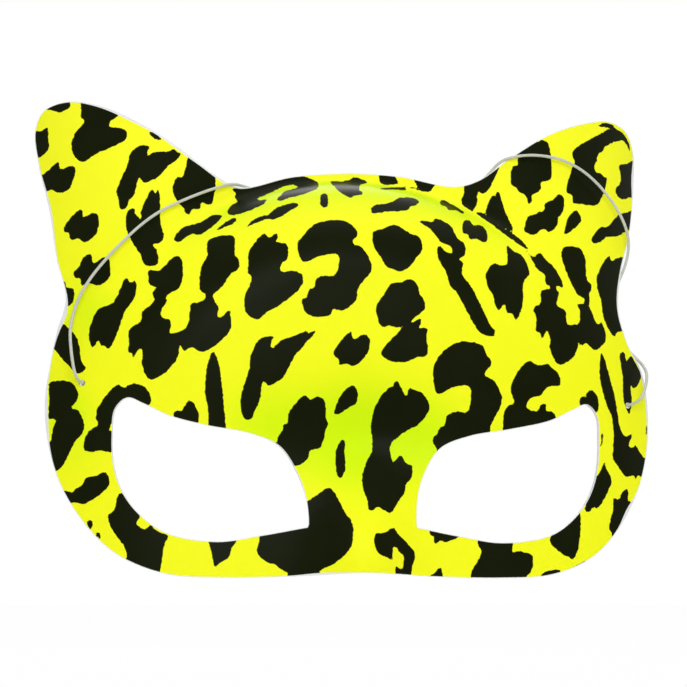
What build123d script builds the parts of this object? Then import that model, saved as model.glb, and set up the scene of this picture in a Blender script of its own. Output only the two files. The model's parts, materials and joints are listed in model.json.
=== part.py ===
from build123d import *
import math
import os

# A cat half mask: one thin moulded plastic sheet with two ears and two eye
# openings, and one round elastic, knotted behind a punched hole in each cheek.
# Millimetres, +Z up, the front faces -Y. The origin is on the back of the
# sheet, at the middle of the nose bridge, where the mask sits on its wearer.
# Half sizes are measured from the middle plane, heights from the origin.

# ---- outline of the sheet, seen from the front
crown_height = 97.0        # top edge, at the middle
notch_half = 37.0          # notch between the dome and an ear
ear_height = 119.5         # top of the ears
waist_height = 51.0        # where the ear ends and the cheek begins
cheek_height = 17.0        # widest place of the cheeks
jaw_depth = 39.3           # lower edge, below the nose bridge
nose_notch = 1.6           # how much higher the lower edge is under the nose

# the edge is trimmed by hand, so the two sides differ a little
left_notch_height = 90.3
right_notch_height = 93.0
left_slope_half = 57.8     # middle of the ear's inner slope
right_slope_half = 56.0
left_ear_half = 104.2      # outermost place of the ear
right_ear_half = 105.2
left_waist_half = 94.6
right_waist_half = 91.9
left_cheek_half = 101.0
right_cheek_half = 102.2

# ---- eye openings
eye_inner_half = 18.0      # lower inner corner
eye_inner_height = -23.0
left_eye_half = 80.0       # outermost place
right_eye_half = 81.6
eye_peak_inset = 4.5       # outer top, from the outermost place
eye_peak_height = 18.0
eye_lid_height = 9.3       # middle of the upper edge
eye_base_height = -27.7    # lowest place

# ---- form of the moulding
sheet = 1.0                # wall
wrap = 18.0                # how far the sheet has turned back at wrap_half
wrap_half = 101.0
wrap_power = 3.4           # how late the sides turn back
margin = 3.2               # flat margin above the dome, at the middle
arch_fall = 0.0057         # the foot of the dome falls by this times x squared
dome_half = 62.0           # half width over which the dome's shoulder fades
dome_drop = 38.0           # depth of the shoulder, at the middle and at the side
dome_drop_side = 9.0
dome_reach = 34.0          # height over which the shoulder rolls back
dome_reach_side = 52.0
wall_start = 0.94          # share of the shoulder's turn before its straight wall
wall_start_side = 0.80
foot_blend = 3.0           # softness of the valley at the foot of the dome
ear_lean = 0.28            # slope of the ears, back per height
nose_rise = 9.0            # the nose, in front of the brow
nose_height = -34.0
nose_half = 15.0
nose_reach = 21.0
root_dip = 6.0             # hollow at the root of the nose
root_height = 6.0
root_half = 24.0
root_reach = 15.0
socket_dip = 3.0           # hollow round each eye
socket_half = 49.0
socket_height = -6.0
socket_width = 30.0
socket_reach = 24.0

# ---- elastic
cord_diameter = 1.0        # across the corners of its section
cord_sides = 8
hole_diameter = 2.0
left_hole = (11.5 - left_cheek_half, 23.0)  # punched by hand, and not quite level
right_hole = (right_cheek_half - 8.7, 18.5)
knot_diameter = 4.2
knot_length = 3.6
knot_gap = 0.4             # between the back of the sheet and a knot
cord_exit = 4.8            # how far the elastic goes straight out of a hole


def arch(x):
    """Height of the foot of the dome."""
    return crown_height - margin - arch_fall * x * x


def bump(x, z, half, height, width, reach):
    """A round swelling of unit size."""
    return math.exp(-((x - half) / width) ** 2 - ((z - height) / reach) ** 2)


def shoulder_drop(x, s):
    """How far the dome has rolled back, at s above its foot."""
    side = 1 - math.exp(-(abs(x) / dome_half) ** 3)
    drop = dome_drop + (dome_drop_side - dome_drop) * side
    reach = dome_reach + (dome_reach_side - dome_reach) * side
    limit = wall_start + (wall_start_side - wall_start) * side
    turn = max(0.0, 1 - s / reach)
    if turn <= limit:
        return drop * (1 - math.sqrt(1 - turn * turn))
    rest = math.sqrt(1 - limit * limit)
    return drop * (1 - rest + limit / rest * (turn - limit))


def depth(x, z):
    """How far the front face stands before the brow; behind it is negative."""
    s = arch(x) - z
    wrapped = -wrap * (abs(x) / wrap_half) ** wrap_power
    dome = wrapped - shoulder_drop(x, s)
    above_foot = (math.sqrt(s * s + foot_blend ** 2) - s) / 2
    ear = wrapped - shoulder_drop(x, 0) - ear_lean * above_foot
    form = (dome + ear + math.sqrt((dome - ear) ** 2 + foot_blend ** 2)) / 2
    form += nose_rise * bump(x, z, 0, nose_height, nose_half, nose_reach)
    form -= root_dip * bump(x, z, 0, root_height, root_half, root_reach)
    for half in (-socket_half, socket_half):
        form -= socket_dip * bump(x, z, half, socket_height, socket_width, socket_reach)
    return form


bridge_depth = depth(0, 0) - sheet


def front_point(x, z):
    return Vector(x, bridge_depth - depth(x, z), z)


def backward(x, z):
    """Unit normal of the sheet, pointing to the wearer."""
    step = 0.05
    slope_x = (depth(x + step, z) - depth(x - step, z)) / (2 * step)
    slope_z = (depth(x, z + step) - depth(x, z - step)) / (2 * step)
    return Vector(slope_x, 1, slope_z).normalized()


def spread(start, stop, count):
    """Evenly spaced values."""
    return [start + (stop - start) * i / (count - 1) for i in range(count)]


def moulded_face(behind):
    """A smooth face through level lines of the form, some way behind its front."""
    half = max(left_ear_half, right_ear_half, left_cheek_half, right_cheek_half) + 8
    top = arch(half) - ear_height - 8
    bottom = arch(0) + jaw_depth + 8
    levels = spread(top, -8, 9) + spread(-5, 12, 18) + spread(16, bottom, 15)
    lines = []
    for s in levels:
        line = []
        for x in spread(-half, half, 31):
            z = arch(x) - s
            line.append(front_point(x, z) + backward(x, z) * behind)
        lines.append(line)
    return Face.make_surface_from_array_of_points(lines, tol=0.03)


def mask_outline(notch_height, slope_half, ear_half, waist_half, cheek_half):
    """One half of the edge, from the top of the crown round to the nose."""
    return Spline(
        (0, crown_height),
        (notch_half / 2, (crown_height + notch_height) / 2 + 1.45),
        (notch_half, notch_height),
        (notch_half + 8, (notch_height + ear_height) / 2 - 11),
        (slope_half, ear_height - 16.3),
        (slope_half + 13.4, ear_height - 7.8),
        (ear_half - 21, ear_height - 2),
        (ear_half - 10, ear_height),
        (ear_half - 2.7, ear_height - 2.7),
        (ear_half, ear_height - 9.5),
        (ear_half - 1.2, ear_height - 22),
        (ear_half - 4.6, ear_height - 38),
        (waist_half + 2.8, waist_height + 14),
        (waist_half, waist_height),
        (waist_half + 2.8, waist_height - 11),
        (cheek_half - 1.7, cheek_height + 13),
        (cheek_half, cheek_height),
        (cheek_half - 1.2, cheek_height - 14),
        (cheek_half - 5.2, cheek_height - 27),
        (cheek_half - 12.5, cheek_height - 39),
        (cheek_half - 21, 8.5 - jaw_depth),
        (cheek_half - 30, 3.6 - jaw_depth),
        (cheek_half - 40, 0.8 - jaw_depth),
        (cheek_half - 56, -jaw_depth),
        (cheek_half - 78, 0.4 - jaw_depth),
        (0, nose_notch - jaw_depth),
        tangents=[(1, 0), (-1, 0)],
    )


def eye_outline(eye_half):
    """One eye opening, from its lower inner corner and back to it."""
    peak_half = eye_half - eye_peak_inset
    return Spline(
        (eye_inner_half, eye_inner_height),
        (eye_inner_half + 0.4, eye_inner_height + 9.5),
        (eye_inner_half + 3.2, eye_inner_height + 18),
        (eye_inner_half + 8.5, eye_lid_height - 6.5),
        (eye_inner_half + 18, eye_lid_height - 2.5),
        (eye_inner_half + 32, eye_lid_height),
        (peak_half - 13.5, eye_peak_height - 5.7),
        (peak_half - 5, eye_peak_height - 1.8),
        (peak_half, eye_peak_height),
        (eye_half - 0.8, eye_peak_height - 3.5),
        (eye_half, eye_peak_height - 12),
        (eye_half - 0.7, eye_peak_height - 22),
        (eye_half - 3.7, eye_peak_height - 30.5),
        (eye_half - 9.5, eye_base_height + 7.9),
        (eye_half - 18, eye_base_height + 2.4),
        (eye_inner_half + 29, eye_base_height),
        (eye_inner_half + 14, eye_base_height + 2.1),
        (eye_inner_half, eye_inner_height),
        tangents=[(0, 1), (-1, 0.2)],
    )


def mask_blank():
    """The cut shape with its eye openings, swept through the mould's depth."""
    left_edge = mask_outline(
        left_notch_height, left_slope_half, left_ear_half, left_waist_half, left_cheek_half
    )
    right_edge = mask_outline(
        right_notch_height, right_slope_half, right_ear_half, right_waist_half, right_cheek_half
    )
    left_eye = mirror(make_face(eye_outline(left_eye_half)), Plane.YZ)
    right_eye = make_face(eye_outline(right_eye_half))
    flat = make_face([right_edge, mirror(left_edge, Plane.YZ)]) - left_eye - right_eye
    return extrude(Plane.XZ * flat, 4 * dome_drop, both=True)


def moulded_sheet():
    """What is left of the blank between the two faces of the sheet."""
    cuts = split(mask_blank(), bisect_by=moulded_face(0), keep=Keep.BOTH).solids()
    rear = max(cuts, key=lambda solid: solid.center().Y)
    layers = split(rear, bisect_by=moulded_face(sheet), keep=Keep.BOTH).solids()
    wall = min(layers, key=lambda solid: solid.volume)
    return wall - strap_hole(left_hole) - strap_hole(right_hole)


def strap_hole(hole):
    drill = Plane(front_point(*hole), z_dir=backward(*hole))
    return drill * Cylinder(hole_diameter / 2, 8 * sheet)


def knot_place(hole):
    """Where the elastic runs into its knot, behind a hole."""
    return front_point(*hole) + backward(*hole) * (sheet + knot_gap)


def knot(hole):
    """A short barrel with its flat face where the elastic runs into it."""
    waist = Pos(0, 0, knot_length / 2) * Cylinder(knot_diameter / 2, knot_length)
    barrel = chamfer(waist.edges().filter_by(GeomType.CIRCLE), knot_length / 4)
    return Plane(knot_place(hole), z_dir=backward(*hole)) * barrel


def before(hole, gap):
    """A point straight ahead of a strap hole."""
    return front_point(*hole) - backward(*hole) * gap


# The elastic's route between its exits: up before the left ear, over the left
# notch, behind the dome, over the right ear's slope, round before the ear, over
# its outer edge, behind the waist and forward again over the cheek's edge.
cord_points = [
    (-93.4, 3.9, 32.0),
    (-93.8, 8.0, 42.0),
    (-89.8, 9.0, 54.0),
    (-80.0, 8.0, 66.5),
    (-67.0, 9.6, 79.0),
    (-53.0, 13.2, 87.5),
    (-42.5, 18.5, 94.2),
    (-32.5, 26.0, 95.6),
    (-17.0, 33.0, 91.5),
    (4.0, 36.0, 88.3),
    (25.0, 33.5, 91.0),
    (39.0, 27.5, 99.0),
    (50.0, 21.0, 105.6),
    (62.0, 17.6, 106.4),
    (75.0, 18.2, 105.0),
    (87.0, 20.0, 98.5),
    (96.0, 21.2, 88.5),
    (101.2, 20.5, 77.0),
    (101.8, 24.5, 67.0),
    (98.0, 26.5, 57.5),
    (96.0, 25.5, 48.0),
    (97.5, 23.0, 39.0),
    (103.0, 18.0, 32.5),
    (104.8, 11.0, 27.0),
    (101.0, 6.0, 21.5),
]


def elastic():
    """An eight-sided tube along the route, with arcs as large as its runs allow."""
    start = [knot_place(left_hole), before(left_hole, cord_exit)]
    finish = [before(right_hole, cord_exit), knot_place(right_hole)]
    route = start + [Vector(*point) for point in cord_points] + finish
    radii = []
    for last, here, following in zip(route, route[1:], route[2:]):
        run_in, run_out = here - last, following - here
        shorter = min(run_in.length, run_out.length)
        half_turn = math.radians(run_in.get_angle(run_out) / 2)
        radii.append(0.45 * shorter / math.tan(half_turn))
    path = FilletPolyline(*route, radius=radii)
    outline = RegularPolygon(cord_diameter / 2, cord_sides)
    section = Plane(route[0], z_dir=route[1] - route[0]) * outline
    tube = sweep(section, path=path)
    print("elastic arc radii", [round(radius, 1) for radius in radii])
    print("elastic length", round(path.length, 1))
    print("volume against section times length", tube.volume / (section.area * path.length))
    return tube


parts = {
    "mask_shell": moulded_sheet(),
    "elastic_cord": elastic(),
    "left_knot": knot(left_hole),
    "right_knot": knot(right_hole),
}
os.makedirs("parts", exist_ok=True)
for name, solid in parts.items():
    export_step(solid, f"parts/{name}.step")
    print(name, len(solid.solids()), "solid", round(solid.volume, 1), "cubic mm")
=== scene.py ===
# %% [markdown]
# # A leopard-print cat half mask
# The mask is one thin sheet of white plastic, printed flat, drawn over a mould
# and cut out, with a thin elastic tied through two punched holes. This lesson
# makes the sheet from a fine flat grid, gives it its form with a few formulas,
# prints it with spots whose outlines are drawn as smooth curves, and lays the
# elastic round it. The first cell loads the measured frame: one unit is a metre.

# %% The measured frame
import json
import math

import bmesh
import bpy
import numpy as np
from mathutils import Matrix, Vector, kdtree

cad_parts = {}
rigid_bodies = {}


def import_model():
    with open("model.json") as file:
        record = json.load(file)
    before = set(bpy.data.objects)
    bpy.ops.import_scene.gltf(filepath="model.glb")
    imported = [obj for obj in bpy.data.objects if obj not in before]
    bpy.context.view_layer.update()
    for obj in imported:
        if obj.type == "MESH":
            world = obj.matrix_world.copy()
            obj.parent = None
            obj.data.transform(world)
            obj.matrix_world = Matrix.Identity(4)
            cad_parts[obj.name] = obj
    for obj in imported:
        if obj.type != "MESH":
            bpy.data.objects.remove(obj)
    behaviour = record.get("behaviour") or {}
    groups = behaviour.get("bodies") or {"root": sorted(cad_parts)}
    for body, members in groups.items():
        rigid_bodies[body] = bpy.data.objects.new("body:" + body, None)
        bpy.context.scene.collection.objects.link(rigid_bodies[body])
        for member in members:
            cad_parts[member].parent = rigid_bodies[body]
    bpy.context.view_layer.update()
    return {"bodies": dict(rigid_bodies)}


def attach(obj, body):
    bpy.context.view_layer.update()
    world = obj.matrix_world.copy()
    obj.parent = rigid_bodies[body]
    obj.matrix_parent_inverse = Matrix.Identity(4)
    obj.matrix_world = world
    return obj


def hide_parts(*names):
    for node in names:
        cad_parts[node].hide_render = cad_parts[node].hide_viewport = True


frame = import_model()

body = list(frame["bodies"])[0]
mm = 0.001

# %% [markdown]
# ## The camera
# A long lens a short way off the middle keeps the mask's two sides nearly the
# same size. The camera stands low and to the left, so its place is worked out
# from two angles, a small roll and a distance to the point that it looks at.
# Building its matrix from three directions is clearer than three turned angles,
# because each column can be checked on paper: right, up and back.

# %% The camera
look_at = Vector((-6.4, -5.78, 36.24)) * mm
turned = math.radians(-10.23)
raised = math.radians(-5.01)
rolled = math.radians(0.2)
distance = 775.5 * mm

back = Vector((math.sin(turned) * math.cos(raised),
               -math.cos(turned) * math.cos(raised),
               math.sin(raised)))
level = Vector((math.cos(turned), math.sin(turned), 0))
upright = back.cross(level)
right = level * math.cos(rolled) + upright * math.sin(rolled)
above = upright * math.cos(rolled) - level * math.sin(rolled)

lens = bpy.data.cameras.new("camera")
lens.lens = 125.7
lens.sensor_width = 36
lens.clip_start = 0.01
camera = bpy.data.objects.new("camera", lens)
camera.matrix_world = Matrix.Translation(look_at + back * distance) @ Matrix(
    (right, above, back)).transposed().to_4x4()
bpy.context.collection.objects.link(camera)
bpy.context.scene.camera = camera
print("camera at", [round(v, 3) for v in camera.matrix_world.translation])

# %% [markdown]
# ## The form of the mould
# A vacuum-formed sheet has no sharp features: a domed forehead that rolls back
# to a flat margin, ears that lean back, a nose and two shallow sockets. Each of
# these is one smooth formula of the place on the sheet, seen from the front.
# Adding them gives a surface that can be asked for its depth anywhere, which a
# sculpted mesh can't, and the same sizes can be changed one at a time. Sizes
# here are in millimetres and become metres when vertices are moved.

# %% Sizes of the mould
sheet = 1.0                                                # the wall of the plastic
crown_height, flat_margin, arch_fall = 97.0, 3.2, 0.0057   # the dome's foot is an arch
wrap_half, wrap, wrap_power = 101.0, 18.0, 3.4             # the sheet curves round the face
dome_half, dome_drop, dome_drop_side = 62.0, 38.0, 9.0     # the dome is deepest in the middle
dome_reach, dome_reach_side = 34.0, 52.0                   # how tall its shoulder is
wall_start, wall_start_side = 0.94, 0.80                   # where the shoulder turns to a wall
foot_blend, ear_lean = 3.0, 0.28                           # the ears lean back from its foot
nose_rise, nose_height, nose_half, nose_reach = 9.0, -34.0, 15.0, 21.0
root_dip, root_height, root_half, root_reach = 6.0, 6.0, 24.0, 15.0   # above the nose
socket_dip, socket_half, socket_height = 3.0, 49.0, -6.0   # shallow hollows for the eyes
socket_width, socket_reach = 30.0, 24.0
print("dome", dome_drop, "mm deep, sheet", sheet, "mm thick")

# %% [markdown]
# Each formula takes a place, across and up, and works on whole arrays of places
# at once. The dome's shoulder is a quarter circle that runs on as a straight wall
# where it gets steep. Towards the sides it is lower and softer.

# %% The dome's foot and shoulder


def arch(x):
    """Height of the foot of the dome."""
    return crown_height - flat_margin - arch_fall * x * x


def bump(x, z, half, height, width, reach):
    """A round swelling of unit size."""
    return np.exp(-((x - half) / width) ** 2 - ((z - height) / reach) ** 2)


def shoulder_drop(x, s):
    """How far the dome has rolled back, at s above its foot."""
    side = 1 - np.exp(-(np.abs(x) / dome_half) ** 3)
    drop = dome_drop + (dome_drop_side - dome_drop) * side
    reach = dome_reach + (dome_reach_side - dome_reach) * side
    limit = wall_start + (wall_start_side - wall_start) * side
    turn = np.maximum(0.0, 1 - s / reach)
    rest = np.sqrt(1 - limit * limit)
    rolled_back = 1 - np.sqrt(1 - np.minimum(turn, limit) ** 2)
    wall = limit / rest * np.maximum(0.0, turn - limit)
    return drop * (rolled_back + wall)


print("the dome's middle rolls back", round(float(shoulder_drop(0.0, 0.0)), 1), "mm")

# %% [markdown]
# Where the dome and the ears meet, a smooth maximum of the two rounds the crease,
# as the heated sheet does over the mould. The nose, the hollow above it and the
# eye sockets are soft round swellings, added to it or taken away.

# %% The depth at every place


def depth(x, z):
    """How far the front stands before the brow; behind it is negative."""
    s = arch(x) - z
    wrapped = -wrap * (np.abs(x) / wrap_half) ** wrap_power
    dome = wrapped - shoulder_drop(x, s)
    above_foot = (np.sqrt(s * s + foot_blend ** 2) - s) / 2
    ear = wrapped - shoulder_drop(x, 0.0) - ear_lean * above_foot
    form = (dome + ear + np.sqrt((dome - ear) ** 2 + foot_blend ** 2)) / 2
    form = form + nose_rise * bump(x, z, 0, nose_height, nose_half, nose_reach)
    form = form - root_dip * bump(x, z, 0, root_height, root_half, root_reach)
    for half in (-socket_half, socket_half):
        form = form - socket_dip * bump(
            x, z, half, socket_height, socket_width, socket_reach)
    return form


bridge_depth = float(depth(0.0, 0.0)) - sheet


def front(x, z):
    """Where the front face of the sheet lies, behind or before the origin."""
    return bridge_depth - depth(x, z)


print("front at the bridge", round(float(front(0.0, 0.0)), 2), "mm")

# %% [markdown]
# ## Finishes
# A finish is a small tree of nodes, and most of it is arithmetic. It could be
# wired node by node, but a sum of three values is then a dozen lines. Wrapping a
# socket in a class lets the sums be written as sums, and one method adds every
# other kind of node: its settings go on first, then the values of its sockets.

# %% A wrapper for shader sums


class Wire:
    """The output of a shader node, which can be added, taken away or multiplied."""

    def __init__(self, tree, socket=None):
        self.tree = tree
        self.socket = socket

    def node(self, kind, inputs, output=0, **settings):
        """Add a node of any kind and return one of its outputs."""
        made = self.tree.nodes.new("ShaderNode" + kind)
        for key, value in settings.items():
            setattr(made, key, value)
        for key, value in inputs.items():
            if isinstance(value, Wire):
                self.tree.links.new(value.socket, made.inputs[key])
            else:
                made.inputs[key].default_value = value
        return Wire(self.tree, made.outputs[output])

    def math(self, operation, first, second):
        return self.node("Math", {0: first, 1: second}, operation=operation)

    def __add__(self, other):
        return self.math("ADD", self, other)

    def __sub__(self, other):
        return self.math("SUBTRACT", self, other)

    def __rsub__(self, other):
        return self.math("SUBTRACT", other, self)

    def __mul__(self, other):
        return self.math("MULTIPLY", self, other)

    __radd__ = __add__
    __rmul__ = __mul__


print("a finish can add, take away and multiply")

# %% [markdown]
# A few helpers name what the finishes ask for again and again. The first are a
# soft step, a mix of two colours, and a value kept on the vertices. A Mix node
# blends colours, because a Math node would turn them grey.

# %% Steps, colours and kept values


def step(value, low, high):
    """0 below low, 1 above high, and smooth between."""
    return value.node("MapRange", {"Value": value, "From Min": low, "From Max": high},
                      interpolation_type="SMOOTHSTEP")


def mixed(amount, first, second):
    """A colour part of the way from first to second.

    A Mix node's sockets share their names, so its colours go by number."""
    return amount.node("Mix", {0: amount, 6: first, 7: second}, output=2,
                       data_type="RGBA")


def attribute(wire, name):
    """A value that is kept on the piece's vertices."""
    return wire.node("Attribute", {}, output="Fac", attribute_name=name)


print("helpers", [f.__name__ for f in (step, mixed, attribute)])

# %% [markdown]
# Moulded plastic and covered rubber are never quite even. A noise gives each its
# clouds and its grain. It reads the piece's own coordinates, so it stays put when
# the piece moves. The fine grain also goes into a relief that only the light sees.

# %% Noise and relief


def place_on(wire):
    """The place on the piece, in metres."""
    return wire.node("TexCoord", {}, output="Object")


def noise(wire, size, detail=2.0):
    """Cloudy values about 0.5, with lumps of about size millimetres."""
    return wire.node("TexNoise", {"Vector": place_on(wire), "Scale": 1 / (size * mm),
                                  "Detail": detail})


def texture(height, strength, tall):
    """A fine relief, tall millimetres high, for the light to catch."""
    return height.node("Bump", {"Height": height, "Strength": strength,
                                "Distance": tall * mm})


def new_finish(name):
    finish = bpy.data.materials.new(name)
    finish.use_nodes = True
    finish.node_tree.nodes.clear()
    return finish, Wire(finish.node_tree)


def show(shader, end="OutputMaterial"):
    """Put a shader on the surface, or in the world."""
    out = shader.tree.nodes.new("ShaderNode" + end)
    shader.tree.links.new(shader.socket, out.inputs["Surface"])


print("helpers", [f.__name__ for f in (noise, texture, new_finish, show)])

# %% [markdown]
# The printed side is yellow and black ink on white plastic, under a soft sheen.
# It could be a painted picture, but that would be coarse close up. Instead it
# mixes its colours from three values on the vertices. Where ink passes zero the
# black spot begins, over a fifth of a millimetre, and a noise tears that edge a
# little, as on the real print. The inks are not quite even, so a faint cloudiness
# goes into both.

# %% The printed plastic
lemon, warm_lemon = (0.94, 0.985, 0.012, 1), (0.97, 0.985, 0.022, 1)
lime = (0.66, 0.96, 0.004, 1)
thick_ink, thin_ink = (0.0045, 0.0066, 0.0003, 1), (0.0070, 0.0094, 0.0005, 1)
margin_white = (0.82, 0.83, 0.81, 1)


def printed_finish():
    finish, wire = new_finish("printed_plastic")
    cloud, torn, grain = noise(wire, 9.0), noise(wire, 1.5, 3.0), noise(wire, 0.45, 3.0)
    height = wire.node("SeparateXYZ", {0: place_on(wire)}, output="Z")
    warmth = step(height, 0.03, 0.11) * 0.7 + cloud * 0.4
    # painted shade: the yellow turns lime where the layer of painted shade says the sheet turns
    # from the light, lies in a hollow or lies in the elastic's shadow
    yellow = mixed(step(attribute(wire, "painted_shade"), 0.06, 0.5),
                   mixed(warmth, lemon, warm_lemon), lime)
    spot = step(attribute(wire, "ink") + (torn - 0.5) * 0.9, -0.1, 0.1)
    inks = mixed(spot, yellow, mixed(cloud, thick_ink, thin_ink))
    within = step(attribute(wire, "margin") + (grain - 0.5) * 0.1, -0.12, 0.12)
    show(wire.node("BsdfPrincipled", {
        "Base Color": mixed(within, margin_white, inks),
        "Roughness": 0.34 + cloud * 0.1 - spot * 0.05,
        "Normal": texture(grain, 0.12, 0.04), "Specular IOR Level": 0.04}))
    return finish


printed = printed_finish()
print("finish", printed.name)

# %% [markdown]
# The back and the cut edge are the same white plastic without ink, and the
# elastic is pale covered rubber, rougher than both. They differ only in numbers,
# so one function makes both: a cloud between two near colours, a roughness that
# follows it, and a grain.

# %% The white plastic and the elastic's cover


def plain_finish(name, colours, cloud_size, grain_size, rough, relief, gloss):
    """A nearly even finish; rough and relief are each a pair of numbers."""
    finish, wire = new_finish(name)
    cloud, grain = noise(wire, cloud_size), noise(wire, grain_size, 3.0)
    show(wire.node("BsdfPrincipled", {
        "Base Color": mixed(cloud, *colours), "Roughness": rough[0] + cloud * rough[1],
        "Normal": texture(grain, *relief), "Specular IOR Level": gloss}))
    return finish


bare = plain_finish("white_plastic", ((0.78, 0.785, 0.76, 1), (0.85, 0.855, 0.84, 1)),
                    14.0, 0.6, (0.4, 0.12), (0.15, 0.05), 0.35)
rubber = plain_finish("pale_elastic", ((0.52, 0.54, 0.47, 1), (0.62, 0.64, 0.57, 1)),
                      3.0, 0.25, (0.5, 0.15), (0.4, 0.05), 0.3)
print("finishes", bare.name, rubber.name)

# %% [markdown]
# ## The elastic
# The elastic comes out of a hole in one cheek, goes up before the ear, falls
# behind the dome, comes over the other ear and goes behind the waist to the
# other cheek. It is limp, so its line has no straight runs and no corners: a
# NURBS curve of order 3 with the route's points as its control points rounds
# every bend by itself. A tube swept along many sampled points could do the same,
# but it shows each point as a small kink, and a bend is then hard to move.

# %% The elastic's route
elastic_thick = 1.0
elastic_route = [
    # out of the left hole and up the cheek
    (-88.84, 8.57, 22.9), (-91.8, 3.1, 23.4), (-93.4, 3.9, 32.0), (-93.8, 8.0, 42.0),
    # before the left ear, over the notch
    (-89.8, 9.0, 54.0), (-80.0, 8.0, 66.5), (-67.0, 9.6, 79.0), (-54.0, 13.4, 85.6),
    (-46.0, 16.2, 89.0), (-40.0, 18.6, 91.2), (-35.0, 23.5, 91.1),
    # behind the dome
    (-28.0, 29.0, 89.8), (-14.0, 33.5, 88.0), (4.0, 36.0, 87.0), (25.0, 33.5, 88.0),
    (36.0, 28.5, 89.5), (43.5, 26.5, 92.2),
    # over the other notch, before the right ear
    (48.5, 24.2, 97.0), (52.2, 21.0, 101.9), (57.0, 18.2, 103.5), (65.0, 18.0, 104.2),
    (75.0, 18.6, 102.8), (85.0, 20.0, 97.2), (94.0, 20.8, 87.0), (97.8, 19.8, 77.0),
    # behind the waist
    (97.8, 23.2, 68.5), (94.6, 26.5, 60.0), (92.6, 25.5, 49.0), (94.0, 21.8, 42.0),
    (97.4, 17.0, 36.5),
    # round to the right hole
    (101.4, 12.2, 31.0), (99.0, 6.2, 24.5), (96.0, 5.1, 18.9), (92.79, 10.36, 18.4),
]
print("elastic has", len(elastic_route), "control points")

# %% [markdown]
# The curve's bevel gives it its round section. Its order, and the setting that
# makes it reach its end points, come after the points, because a spline with too
# few points drops them. The knots are made of the same elastic, so the function
# takes any route.

# %% The elastic


def soft_line(name, route, thick):
    """A round cord along smooth bends; the route is in millimetres."""
    data = bpy.data.curves.new(name, "CURVE")
    data.dimensions = "3D"
    line = data.splines.new("NURBS")
    line.points.add(len(route) - 1)
    for point, place in zip(line.points, route):
        point.co = (*[value * mm for value in place], 1)
    line.order_u = 3
    line.use_endpoint_u = True
    line.resolution_u = 12
    data.bevel_depth = thick / 2 * mm
    data.bevel_resolution = 3
    data.use_fill_caps = True
    data.materials.append(rubber)
    piece = bpy.data.objects.new(name, data)
    bpy.context.collection.objects.link(piece)
    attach(piece, body)
    return piece


elastic = soft_line("elastic", elastic_route, elastic_thick)
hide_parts("elastic_cord")
print("elastic", round(elastic.data.bevel_depth * 2 / mm, 2), "mm thick")

# %% [markdown]
# A knot behind each hole keeps the elastic from pulling out. A bead would stand
# for it, but it shows from behind. So the cord runs up the middle of its own
# knot, winds back round itself twice and ends in a short tail, cut off square. Its
# route is worked out along and around the direction in which the elastic leaves
# the hole, so one function ties both knots.

# %% The knots


def stopper(place, came_from, first_turn):
    """The route of a tight knot and its tail, in millimetres."""
    place = Vector(place)
    along = (place - Vector(came_from)).normalized()
    side = along.cross(Vector((0, 0, 1))).normalized()
    up = side.cross(along)
    # each step: how far ahead, how far out from the middle, and the angle there
    steps = [(0, 0, 0), (1.2, 0, 0), (2.6, 0, 0), (3.5, 0.3, first_turn)]
    count, windings, wound = 15, 1.9, 2.3
    for i in range(count):
        part = i / (count - 1)
        turn = first_turn + 0.7 + part * windings * 2 * math.pi
        steps.append((3.1 - wound * part, 1.15 + 0.12 * math.sin(2.3 * turn), turn))
    steps += [(0.9, 1.9, turn + 0.55), (1.4, 2.9, turn + 0.85), (2.5, 3.9, turn + 1.0)]
    return [place + along * ahead + (side * math.cos(turn) + up * math.sin(turn)) * out
            for ahead, out, turn in steps]


knots = [
    soft_line("left_tied_knot", stopper(elastic_route[0], elastic_route[1], 0.4),
              elastic_thick),
    soft_line("right_tied_knot", stopper(elastic_route[-1], elastic_route[-2], 2.1),
              elastic_thick),
]
for knot, node in zip(knots, ("left_knot", "right_knot")):
    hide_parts(node)
print("knots", [knot.name for knot in knots])

# %% [markdown]
# ## Smooth outlines
# The cut edge, the eye openings and every printed spot are outlines on the flat
# sheet. Each is a short list of places with a smooth curve through them. Catmull
# and Rom's curve passes through its points and never swings wide of them, when
# its pace follows the square root of each gap, so a list stays easy to read and
# close points make a sharp tip.

# %% Smooth outlines


def smooth_through(places, spacing):
    """A closed curve through places, as an array of points about spacing apart."""
    p = np.array(places, float)
    before, after, beyond = np.roll(p, 1, 0), np.roll(p, -1, 0), np.roll(p, -2, 0)
    pieces = []
    for a, b, c, d in zip(before, p, after, beyond):
        gap_ab, gap_bc, gap_cd = (max(1e-6, float(np.hypot(*(v - u)))) ** 0.5
                                  for u, v in ((a, b), (b, c), (c, d)))
        count = max(2, int(math.ceil(gap_bc ** 2 / spacing)))
        t = (np.arange(count) / count * gap_bc)[:, None]
        ab = b + (b - a) / gap_ab * t
        bc = b + (c - b) / gap_bc * t
        cd = c + (d - c) / gap_cd * (t - gap_bc)
        abc = (ab * (gap_bc - t) + bc * (gap_ab + t)) / (gap_ab + gap_bc)
        bcd = (bc * (gap_cd + gap_bc - t) + cd * t) / (gap_bc + gap_cd)
        pieces.append((abc * (gap_bc - t) + bcd * t) / gap_bc)
    return np.concatenate(pieces)


square = smooth_through([(0, 0), (10, 0), (10, 10), (0, 10)], 1.0)
print("four corners become", len(square), "points")

# %% [markdown]
# Two questions come up for every outline. A place is inside when a line from it
# to the right crosses the outline an odd number of times. The nearest point of an
# outline comes from a tree of its points, which is far quicker than trying all.

# %% Inside and nearest


def inside(loop, x, z):
    """Which of the places lie inside a closed loop of points."""
    found = np.zeros(len(x), bool)
    for (x0, z0), (x1, z1) in zip(loop, np.roll(loop, -1, 0)):
        if z0 == z1:
            continue
        crossed = (z0 > z) != (z1 > z)
        found ^= crossed & (x < x0 + (z - z0) * (x1 - x0) / (z1 - z0))
    return found


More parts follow.
